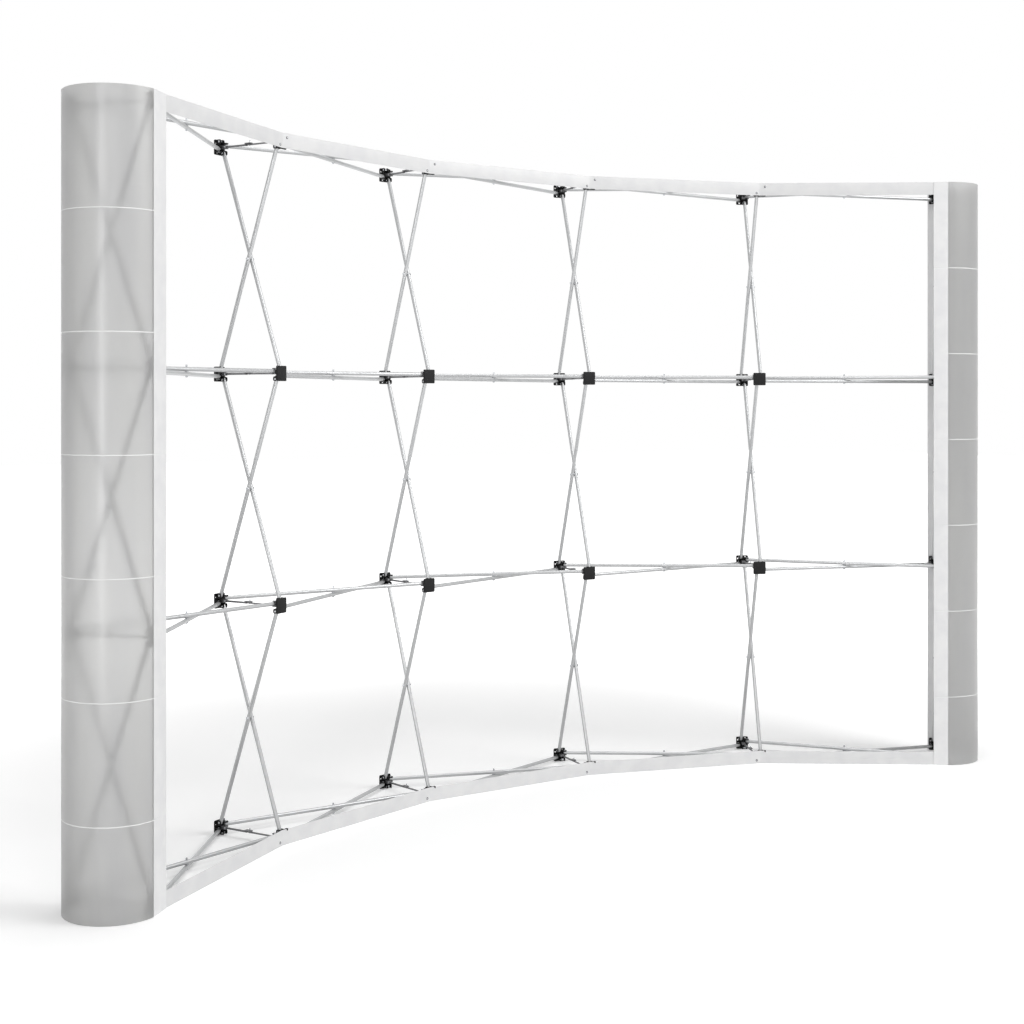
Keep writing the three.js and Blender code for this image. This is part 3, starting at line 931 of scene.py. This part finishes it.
# %% [markdown]
# ## The end panels
#
# Each end is one sheet: a flange in front, a bowed side, a flange behind. Seen
# from above, the side is part of an ellipse that is cut off where it meets the
# flanges, so the bends are crisp. The sheet's two faces are the same curve,
# one thickness apart. The fold lines are shallow grooves at even heights.

# %% The panel's section, in its column's frame
FOLD_SPACING = 328.5 * MM
FOLD_COUNT = 6
FOLD_HALF = 1.3 * MM
FOLD_DEPTH = 0.35 * MM
SIDE_STEPS_PANEL = 56


def panel_line(reach, bulge):
    """The outer face in plan: flange, bulge - A + A sin and middle - B cos round the side, flange."""
    half_bay = BAY_ANGLE / 2
    standoff = SEAT_GAP + STRIP_THICK / math.cos(half_bay) + reach * math.tan(half_bay) + SEAT_GAP
    front = -standoff - PANEL_THICK
    back = WALL_DEPTH + SEAT_GAP + PANEL_THICK
    across = (bulge - PANEL_BEND) / (1 - math.sin(PANEL_BEND_ANGLE))
    along = (back - front) / 2 / math.cos(PANEL_BEND_ANGLE)
    turn = np.linspace(PANEL_BEND_ANGLE, math.pi - PANEL_BEND_ANGLE, SIDE_STEPS_PANEL + 1)
    side = np.column_stack([bulge - across + across * np.sin(turn), (front + back) / 2 - along * np.cos(turn)])
    return np.concatenate([[[-reach, front]], side, [[-PANEL_REAR_REACH, back]]])


def beside(line, distance):
    """The same line moved sideways by a distance, with mitred corners."""
    step = np.diff(line, axis=0)
    step /= np.linalg.norm(step, axis=1)[:, None]
    into = np.vstack([step[:1], step])
    out = np.vstack([step, step[-1:]])
    normal = np.column_stack([-(into + out)[:, 1], (into + out)[:, 0]])
    normal /= np.linalg.norm(normal, axis=1)[:, None]
    mitre = np.sum(normal * np.column_stack([-into[:, 1], into[:, 0]]), axis=1)
    return line + normal * (distance / mitre)[:, None]


# %% [markdown]
# The rings of a panel are level loops, round the outer face and back along the
# inner one. A fold line is a groove between two rings whose outer points sink
# a third of a millimetre, with two more flat rings on each side of it, so that
# the smooth shading of the groove doesn't reach into the flat sheet. The faces
# are given their finish by where they lie: white flange, frosted side or
# whitened fold.

# %% Build both end panels
def panel_heights():
    """Each ring's height and how far the outer face sinks there."""
    heights, sinks = [SEAT_GAP], [0.0]
    for fold in range(FOLD_COUNT, 0, -1):
        middle = WALL_TOP - fold * FOLD_SPACING
        steps = np.array([-2, -1, -0.5, 0.5, 1, 2])
        heights += (middle + FOLD_HALF * steps).tolist()
        sinks += [0.0, 0.0, FOLD_DEPTH, FOLD_DEPTH, 0.0, 0.0]
    return np.array(heights + [WALL_TOP]), np.array(sinks + [0.0])


def panel(column, side, reach, bulge):
    """The sheet as rings in plan at each height, with its finishes by face."""
    outer = panel_line(reach, bulge)
    inner = beside(outer, PANEL_THICK)
    heights, sinks = panel_heights()
    count = len(outer)
    rings = []
    for height, sink in zip(heights, sinks):
        line = np.concatenate([beside(outer, sink), inner[::-1]]) * [side, 1]
        rings.append(np.column_stack([line, np.full(len(line), height)]))
    rings = at(np.array(rings), column)
    points, faces, _ = skin(rings)
    faces = faces[:-2]
    around = 2 * count
    low = np.arange(count - 1)
    rim = np.stack([low, low + 1, around - 2 - low, around - 1 - low], -1)
    faces += rim.tolist() + (rim + (len(heights) - 1) * around).tolist()
    return points, faces, panel_finishes(len(heights), count, sinks)


def panel_finishes(row_count, count, sinks):
    """Material numbers: 0 for the flanges, 1 for the bowed side and 2 for the fold lines."""
    along = np.zeros(2 * count, int)
    along[1 : count - 2] = 1
    along[count + 1 : 2 * count - 2] = 1
    numbers = np.tile(along, (row_count - 1, 1))
    folded = (sinks[:-1] + sinks[1:]) > 0
    on_side = np.zeros(2 * count, bool)
    on_side[1 : count - 2] = True
    numbers[np.ix_(folded, on_side)] = 2
    rim = np.ones(count - 1, int)
    rim[[0, -1]] = 0
    return numbers.reshape(-1).tolist() + rim.tolist() * 2


for name, sizes in PANELS.items():
    body = f"end_panel_{name}"
    make_piece(
        f"panel_{name}", [panel(**sizes)],
        [flange_pvc, frosted_sheet, whitened_fold], body, [body],
    )

# %% [markdown]
# The rails behind the flanges stay as the CAD model has them. They only need
# their paint, a light grey powder coat with its fine orange peel.

# %% Powder coat, for the rails
powder_coat, shader = start_material("light_grey_powder_coat", "#d9d9d9", 0.5)
grain(powder_coat, shader, 1.5 * MM, 0.05 * MM, 0.44, 0.56)
for name in ("flange_rail_left", "flange_rail_right"):
    rail = frame["nodes"][name]
    rail.data.materials.clear()
    rail.data.materials.append(powder_coat)

# %% [markdown]
# ## Floor and light
#
# The studio is white all round. The floor is a plain pale sheet that takes the
# object's soft shadow. To the eye, and to what metal and clear plastic show, it
# has a little light of its own, which grows with the distance from the object
# until the floor meets the white background without an edge.

# %% Rays that look straight at the studio
def looks_at(owner):
    """One for rays from the camera, from glossy surfaces and through clear ones, zero for the rest."""
    path = add(owner, "ShaderNodeLightPath")
    seen = path.outputs["Is Camera Ray"]
    for kind in ("Is Glossy Ray", "Is Transmission Ray"):
        seen = add(owner, "ShaderNodeMath", {"operation": "MAXIMUM"}, {0: seen, 1: path.outputs[kind]}).outputs[0]
    return seen


# %% Floor
FLOOR_SIZE = 60.0
FLOOR_GLOW = 0.14
GLOW_STARTS = 1.2
GLOW_FULL = 5.0

floor_mesh = bpy.data.meshes.new("floor")
half = FLOOR_SIZE / 2
floor_mesh.from_pydata([(-half, -half, 0), (half, -half, 0), (half, half, 0), (-half, half, 0)], [], [(0, 1, 2, 3)])
floor = bpy.data.objects.new("floor", floor_mesh)
bpy.context.scene.collection.objects.link(floor)

floor_paper = bpy.data.materials.new("matt_white_backdrop_paper")
floor_paper.use_nodes = True
floor_paper.node_tree.nodes.clear()
paper = add(floor_paper, "ShaderNodeBsdfDiffuse", {"Color": linear("#fcfcfc")})
place = add(floor_paper, "ShaderNodeTexCoord")
away = add(floor_paper, "ShaderNodeVectorMath", {"operation": "LENGTH"}, {0: place.outputs["Object"]})
fade = add(
    floor_paper, "ShaderNodeMapRange",
    {
        "interpolation_type": "SMOOTHSTEP",
        "From Min": GLOW_STARTS, "From Max": GLOW_FULL,
        "To Min": FLOOR_GLOW, "To Max": 1.0,
    },
    {"Value": away.outputs["Value"]},
)
glow = add(floor_paper, "ShaderNodeEmission", {"Color": (1, 1, 1, 1)}, {"Strength": fade.outputs["Result"]})
lit = add(floor_paper, "ShaderNodeAddShader", None, {0: paper.outputs["BSDF"], 1: glow.outputs["Emission"]})
seen = add(
    floor_paper, "ShaderNodeMixShader", None,
    {0: looks_at(floor_paper), 1: paper.outputs["BSDF"], 2: lit.outputs["Shader"]},
)
add(floor_paper, "ShaderNodeOutputMaterial", None, {"Surface": seen.outputs["Shader"]})
floor_mesh.materials.append(floor_paper)

# %% White surroundings, brighter to the eye than to the object
AMBIENT = 0.3

world = bpy.data.worlds.new("studio")
bpy.context.scene.world = world
world.use_nodes = True
world.node_tree.nodes.clear()
strength = add(
    world, "ShaderNodeMapRange",
    {"From Min": 0.0, "From Max": 1.0, "To Min": AMBIENT, "To Max": 1.0},
    {"Value": looks_at(world)},
)
background = add(world, "ShaderNodeBackground", {"Color": (1, 1, 1, 1)}, {"Strength": strength.outputs["Result"]})
add(world, "ShaderNodeOutputWorld", None, {"Surface": background.outputs["Background"]})

# %% [markdown]
# The key stands high in front on the right, so that level tubes are lit along
# the top and upright ones along their right side. A weak fill comes from the
# left, and a tall narrow box there draws the light band down the bowed side of
# the left panel. A box straight above lights the floor, and leaves the soft
# shadows close to the feet.

# %% Soft boxes: place and aim in metres, width and height in metres, power in watts
def soft_box(name, place, aim, width, height, power):
    """A rectangular area light that faces a point."""
    light = bpy.data.lights.new(name, "AREA")
    light.shape = "RECTANGLE"
    light.size = width
    light.size_y = height
    light.energy = power
    lamp = bpy.data.objects.new(name, light)
    lamp.location = place
    back = np.array(place, float) - np.array(aim, float)
    yaw = math.atan2(back[0], -back[1])
    pitch = math.atan2(back[2], math.hypot(back[0], back[1]))
    lamp.rotation_euler = (math.pi / 2 - pitch, 0, yaw)
    bpy.context.scene.collection.objects.link(lamp)


soft_box("key_box", (3.5, -5.0, 5.0), (0, 0, 1.0), 3.6, 3.6, 230)
soft_box("fill_box", (-3.5, -6.0, 4.0), (0, 0, 1.0), 3.0, 3.0, 45)
soft_box("top_box", (0.0, 0.0, 8.0), (0, 0.001, 0), 5.0, 5.0, 210)
soft_box("side_box", (-5.3, -4.0, 1.7), (-1.8, -0.3, 1.1), 0.6, 3.4, 75)

# %% [markdown]
# ## Camera
#
# The photograph was taken level, from about 1.4 m above the floor and well to
# the left of the middle of the wall, and the picture was shifted down to take
# in the floor. A level camera keeps uprights upright, so it has no tilt here
# either, only the same shift.

# %% Camera
CAMERA_PLACE = (-3.0548, -4.4199, 1.3828)
CAMERA_TURN = math.radians(33.41)
FOCAL_PIXELS = 1536.8
IMAGE_PIXELS = 1024
HORIZON_RISE_PIXELS = 108.2
SENSOR_MILLIMETRES = 36
VIEW_DEPTH = 100.0

camera_data = bpy.data.cameras.new("camera")
camera_data.sensor_width = SENSOR_MILLIMETRES
camera_data.lens = FOCAL_PIXELS / IMAGE_PIXELS * camera_data.sensor_width
camera_data.shift_y = -HORIZON_RISE_PIXELS / IMAGE_PIXELS
camera_data.clip_end = VIEW_DEPTH
camera = bpy.data.objects.new("camera", camera_data)
camera.location = CAMERA_PLACE
camera.rotation_euler = (math.pi / 2, 0, -CAMERA_TURN)
bpy.context.scene.collection.objects.link(camera)
bpy.context.scene.camera = camera
bpy.context.scene.view_settings.view_transform = "Standard"
